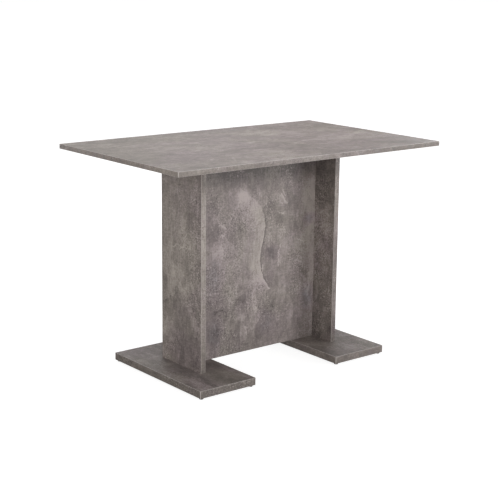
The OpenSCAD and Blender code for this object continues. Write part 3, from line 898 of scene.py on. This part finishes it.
def turned_piece(bm, at, axis, levels):
    """Stacks outlines, each given as (height along the axis, points), into a closed solid."""
    turn = Vector(axis).to_track_quat("Z", "Y").to_matrix()
    loft(bm, [[Vector(at) + turn @ Vector((x, y, height)) for x, y in points]
              for height, points in levels])


# A head's outline above its seat, as shares of its height and of its radius
DOMED_HEAD = ((0.45, 0.99), (0.78, 0.90), (0.95, 0.70))
FLUSH_HEAD = ((0.85, 0.995), (1.0, 0.93), (1.0, 0.80))


def screw(bm, at, axis, head_d, head, shank_d, length, recess, domed=True):
    """A screw with its head's seat at a place and axis pointing out of the head. recess(scale)
    gives the outline of the head's recess."""
    r, shank = head_d / 2, shank_d / 2
    top = DOMED_HEAD if domed else FLUSH_HEAD
    levels = [(-length, circle(0.25 * shank)), (-length + 1.6 * shank, circle(shank)),
              (0.0, circle(shank)), (0.0, circle(0.97 * r)), (0.08 * head, circle(r))]
    levels += [(share * head, circle(r * wide)) for share, wide in top]
    levels += [(head, recess(1.0)), (0.25 * head, recess(0.72))]
    turned_piece(bm, at, axis, levels)


def cross_recess_for(head_d):
    return lambda scale: cross_recess(0.29 * head_d * scale, 0.065 * head_d * scale)


def screw_set(name, node, axis_key, head_side, sizes, body, domed=True):
    """Cross-recessed screws in place of a CAD node's plain ones. head_side(low, high) is +1 or -1
    along the axis, and sizes are the head's diameter and height and the shank's diameter."""
    bm = bmesh.new()
    k = "xyz".index(axis_key)
    head_d, head, shank_d = sizes
    for low, high in solids(node):
        side = head_side(low, high)
        at = (low + high) / 2
        at[k] = high[k] - head if side > 0 else low[k] + head
        axis = [0, 0, 0]
        axis[k] = side
        length = high[k] - low[k] - head
        screw(bm, at, axis, head_d, head, shank_d, length, cross_recess_for(head_d), domed)
    add_piece(name, bm, ZINC, body, "zinc_steel", node)


def soften(node, width, segments=2):
    """Rounds a CAD node's edges without touching its mesh."""
    obj = NODES[node]
    weld = obj.modifiers.new("weld", "WELD")
    weld.merge_threshold = WELD_WITHIN
    plain = obj.modifiers.new("plain", "DECIMATE")
    plain.decimate_type = "DISSOLVE"
    plain.angle_limit = math.radians(FLAT_WITHIN)
    bevel = obj.modifiers.new("bevel", "BEVEL")
    bevel.width = width
    bevel.segments = segments
    bevel.limit_method = "ANGLE"
    bevel.angle_limit = math.radians(EDGE_OVER)
    bevel.use_clamp_overlap = True


def put_material(obj, material):
    obj.data.materials.clear()
    obj.data.materials.append(material)


# ---------------------------------------------------------------- boards and their bands

BAND_GRAIN = 1.35


def dress_boards():
    """Stone decor on every board, with painted shade and light on the web, uprights and base
    plates. The grain runs along each board's length.
    """
    top = stone_material("top_stone", "y", "x", 3.1, clouds=0.8, grain=0.5, marks_and_shade=top_marks)
    put_material(NODES["table_top"], top)
    web = stone_material("web_stone", "x", "z", 21.0, clouds=0.75, grain=1.45, tone=0.515,
                         marks_and_shade=web_marks_and_shade)
    put_material(NODES["web_panel"], web)
    uprights = ((0.51, upright_marks_and_shade), (0.45, right_upright_marks_and_shade))
    for number, (side, (upright_tone, drawing)) in enumerate(zip(SIDES, uprights)):
        boards = (("upright", "y", "z", 1.8, upright_tone, drawing),
                  ("base_plate", "x", "y", 1.1, 0.47, base_marks_and_shade),
                  ("leaf", "x", "z", 1.2, 0.52, None))
        for board, across, along, grain, tone, marks_and_shade in boards:
            seed = 31.0 + 7 * number + len(board)
            stone = stone_material(f"{side}_{board}_stone", across, along, seed,
                                   grain=grain, tone=tone, marks_and_shade=marks_and_shade)
            put_material(NODES[f"{side}_{board}"], stone)


def band_stone(name, across, along, seed, tone, marks_and_shade=band_marks, grain=BAND_GRAIN):
    # Every band gets a painted highlight on its rounded arrises
    return stone_material(f"{name}_stone", across, along, seed, clouds=0.45, grain=grain, tone=tone,
                          marks_and_shade=marks_and_shade, painted_arris_highlight=True)


def add_bands():
    """Edge bands with rounded corners and arrises, in place of the CAD's square ones. Their arrises
    have a painted highlight, and the uprights' bands have painted shade at both ends.
    """
    rings = [("top_band", "top_edging", "frame", flat, "z", "xy", 0.58, top_band_marks, 0.85)]
    for side, base_tone in zip(SIDES, (0.34, 0.44)):
        rings.append((f"{side}_base_band", f"{side}_base_edging", "frame", flat,
                      "z", "xy", base_tone, band_marks, BAND_GRAIN))
        rings.append((f"{side}_leaf_band", f"{side}_leaf_edging", f"{side}_leaf_panel", on_edge,
                      "y", "xz", 0.5, band_marks, BAND_GRAIN))
    for number, (name, node, body, at, across, along, tone, marks_and_shade, grain) in enumerate(rings):
        low, high = (at(*corner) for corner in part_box(node))
        bm = bmesh.new()
        band_ring(bm, low, high, at)
        material = band_stone(name, across, along, 51.0 + 7 * number, tone, marks_and_shade, grain)
        add_piece(name, bm, material, body, "edge_band", node)

    for number, (side, tone) in enumerate(zip(SIDES, (0.65, 0.46))):
        low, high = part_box(f"{side}_upright_edging")
        bm = bmesh.new()
        for v_in, v_out in ((low.y + BAND, low.y), (high.y - BAND, high.y)):
            outline = banded_edge(low.x, high.x, v_in, v_out)
            loft(bm, [[flat(u, v, w) for u, v in outline] for w in (low.z, high.z)])
        name = f"{side}_upright_band"
        material = band_stone(name, "x", "z", 91.0 + 7 * number, tone, upright_band_painted_shade)
        add_piece(name, bm, material, "frame", "edge_band", f"{side}_upright_edging")

    low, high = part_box("web_edging")
    bm = bmesh.new()
    outline = banded_edge(low.y, high.y, high.z, low.z)
    loft(bm, [[(x, y, z) for y, z in outline] for x in (low.x, high.x)])
    material = band_stone("web_band", "y", "x", 107.0, 0.5)
    add_piece("web_band", bm, material, "frame", "edge_band", "web_edging")


# ---------------------------------------------------------------- fittings

ZINC = zinc_material()
PLASTIC = plastic_material()
STEEL_NODES = ("glide_nails", "cam_bolts", "cam_housings", "right_stop_pins", "left_stop_pins",
               "right_strike_plate", "left_strike_plate")

# Head's diameter and height, and shank's diameter
PAN_SCREW = (7 * MM, 2 * MM, 3.5 * MM)
SMALL_PAN_SCREW = (6 * MM, 2 * MM, 3 * MM)
RAIL_SCREW = (8 * MM, 2.5 * MM, 5 * MM)
CONFIRMAT = (10 * MM, 3 * MM, 7 * MM)
CONFIRMAT_SOCKET = 4 * MM

GLIDE_POINTS = 32
# Millimetres up from the floor, and the share of the radius there
GLIDE_PROFILE = ((0, 0.88), (0.2, 0.95), (0.6, 1.0), (3.4, 1.0), (3.8, 0.92))
KEEPER_STEEL, KEEPER_FLANGE, KEEPER_BEND, KEEPER_CORNER = 2.5 * MM, 16 * MM, 1.2 * MM, 4 * MM
REST_STEEL, REST_BEND, REST_CORNER = 2.0 * MM, 1.5 * MM, 5 * MM
POLE_RISE, POLE_HALF_WIDTH, POLE_HALF_THICKNESS, POLE_CORNER = 3.2 * MM, 9 * MM, 0.8 * MM, 0.5 * MM
POLE_INSIDE, POLE_PROUD = 2 * MM, 0.2 * MM
PIN_POINTS = 48
PIN_CHAMFER, PIN_FLUTES_FROM, PIN_FLUTE = 0.9 * MM, 1.6 * MM, 0.3 * MM
BEARER_ROUND, CATCH_ROUND, DOWEL_ROUND, STEEL_ROUND = 1.2 * MM, 0.8 * MM, 0.7 * MM, 0.3 * MM


# Which end of a screw its head is at

def downwards(low, high):
    return -1


def backwards(low, high):
    return 1


def outwards(low, high):
    return 1 if low.y + high.y > 0 else -1


def add_fixed_fittings():
    """Glides, keepers, rests, catches and the screws that hold them."""
    bm = bmesh.new()
    for low, high in solids("glides"):
        r, middle = (high.x - low.x) / 2, (low + high) / 2
        levels = [(up * MM, share * r) for up, share in GLIDE_PROFILE]
        levels.append((high.z, levels[-1][1]))
        turned_piece(bm, (middle.x, middle.y, low.z), (0, 0, 1),
                     [(height, circle(radius, GLIDE_POINTS)) for height, radius in levels])
    add_piece("turned_glides", bm, PLASTIC, "frame", "black_plastic", "glides")

    bm = bmesh.new()
    for low, high in solids("bearer_keepers"):
        middle, reach = (low + high) / 2, (high.y - low.y) / 2
        channel = reach - KEEPER_FLANGE - KEEPER_STEEL / 2
        top, bottom = high.z - KEEPER_STEEL / 2, low.z + KEEPER_STEEL / 2
        line = [(-reach, top), (-channel, top), (-channel, bottom),
                (channel, bottom), (channel, top), (reach, top)]
        folded_strip(bm, line, KEEPER_BEND, KEEPER_STEEL, high.x - low.x, KEEPER_CORNER,
                     lambda u, v, w, m=middle: (m.x + u, m.y + v, w))
    add_piece("folded_keepers", bm, ZINC, "frame", "zinc_steel", "bearer_keepers")

    bm = bmesh.new()
    for low, high in solids("leaf_rests"):
        middle = (low + high) / 2
        back, foot = low.y + REST_STEEL / 2, low.z + REST_STEEL / 2
        line = [(back, high.z), (back, foot), (high.y, foot)]
        folded_strip(bm, line, REST_BEND, REST_STEEL, high.x - low.x, REST_CORNER,
                     lambda u, v, w, m=middle: (m.x + u, v, w))
    add_piece("folded_leaf_rests", bm, ZINC, "frame", "zinc_steel", "leaf_rests")

    bm = bmesh.new()
    for low, high in solids("magnetic_catches"):
        middle = (low + high) / 2
        for z in (middle.z - POLE_RISE, middle.z + POLE_RISE):
            outline = rounded_rectangle((middle.x - POLE_HALF_WIDTH, z - POLE_HALF_THICKNESS),
                                        (middle.x + POLE_HALF_WIDTH, z + POLE_HALF_THICKNESS),
                                        POLE_CORNER)
            loft(bm, [[(x, y, z) for x, z in outline]
                      for y in (high.y - POLE_INSIDE, high.y + POLE_PROUD)])
    add_piece("catch_pole_plates", bm, ZINC, "frame", "zinc_steel")
    put_material(NODES["magnetic_catches"], PLASTIC)
    soften("magnetic_catches", CATCH_ROUND, 3)

    screw_set("pan_head_keeper_screws", "keeper_screws", "z", downwards, PAN_SCREW, "frame")
    screw_set("pan_head_rest_screws", "leaf_rest_screws", "y", backwards, PAN_SCREW, "frame")
    screw_set("pan_head_catch_screws", "catch_screws", "y", backwards, SMALL_PAN_SCREW, "frame")

    bm = bmesh.new()
    head = CONFIRMAT[1]
    for low, high in solids("confirmat_screws"):
        middle = (low + high) / 2
        screw(bm, (middle.x, middle.y, low.z + head), (0, 0, -1), *CONFIRMAT, high.z - low.z - head,
              lambda scale: hex_recess(CONFIRMAT_SOCKET * (0.9 + 0.1 * scale)), domed=False)
    add_piece("hex_socket_confirmats", bm, ZINC, "frame", "zinc_steel", "confirmat_screws")

    for node in STEEL_NODES:
        put_material(NODES[node], ZINC)
        soften(node, STEEL_ROUND)
    put_material(NODES["dowels"], beech_material("dowel_beech", "z"))
    soften("dowels", DOWEL_ROUND, 1)


def dress_extension(side):
    """Beech bearers and rail, and the rail's screws."""
    for end in ("front", "rear"):
        bearer = f"{side}_{end}_bearer"
        put_material(NODES[bearer], beech_material(f"{bearer}_beech", "x"))
        soften(bearer, BEARER_ROUND, 3)
    put_material(NODES[f"{side}_cross_rail"], beech_material(f"{side}_rail_beech", "y"))
    soften(f"{side}_cross_rail", BEARER_ROUND, 3)
    screw_set(f"{side}_flush_rail_screws", f"{side}_rail_screws", "y", outwards, RAIL_SCREW,
              f"{side}_extension", domed=False)


def add_leaf_pins(side):
    """Fluted beech pins with chamfered ends, which stand out of the leaf's underside."""
    bm = bmesh.new()
    for low, high in solids(f"{side}_leaf_pins"):
        middle, r, length = (low + high) / 2, (high.x - low.x) / 2, high.y - low.y
        end, shoulder = circle(0.74 * r, PIN_POINTS), circle(0.98 * r, PIN_POINTS)
        fluted = circle(r, PIN_POINTS, PIN_FLUTE)
        levels = [(0, end), (PIN_CHAMFER, shoulder), (PIN_FLUTES_FROM, fluted),
                  (length - PIN_FLUTES_FROM, fluted), (length - PIN_CHAMFER, shoulder),
                  (length, end)]
        turned_piece(bm, (middle.x, low.y, middle.z), (0, 1, 0), levels)
    add_piece(f"{side}_fluted_pins", bm, beech_material(f"{side}_pin_beech", "y"),
              f"{side}_leaf_panel", "beech", f"{side}_leaf_pins")


add_camera()
add_stage()
dress_boards()
add_bands()
add_fixed_fittings()
for side in SIDES:
    dress_extension(side)
    add_leaf_pins(side)
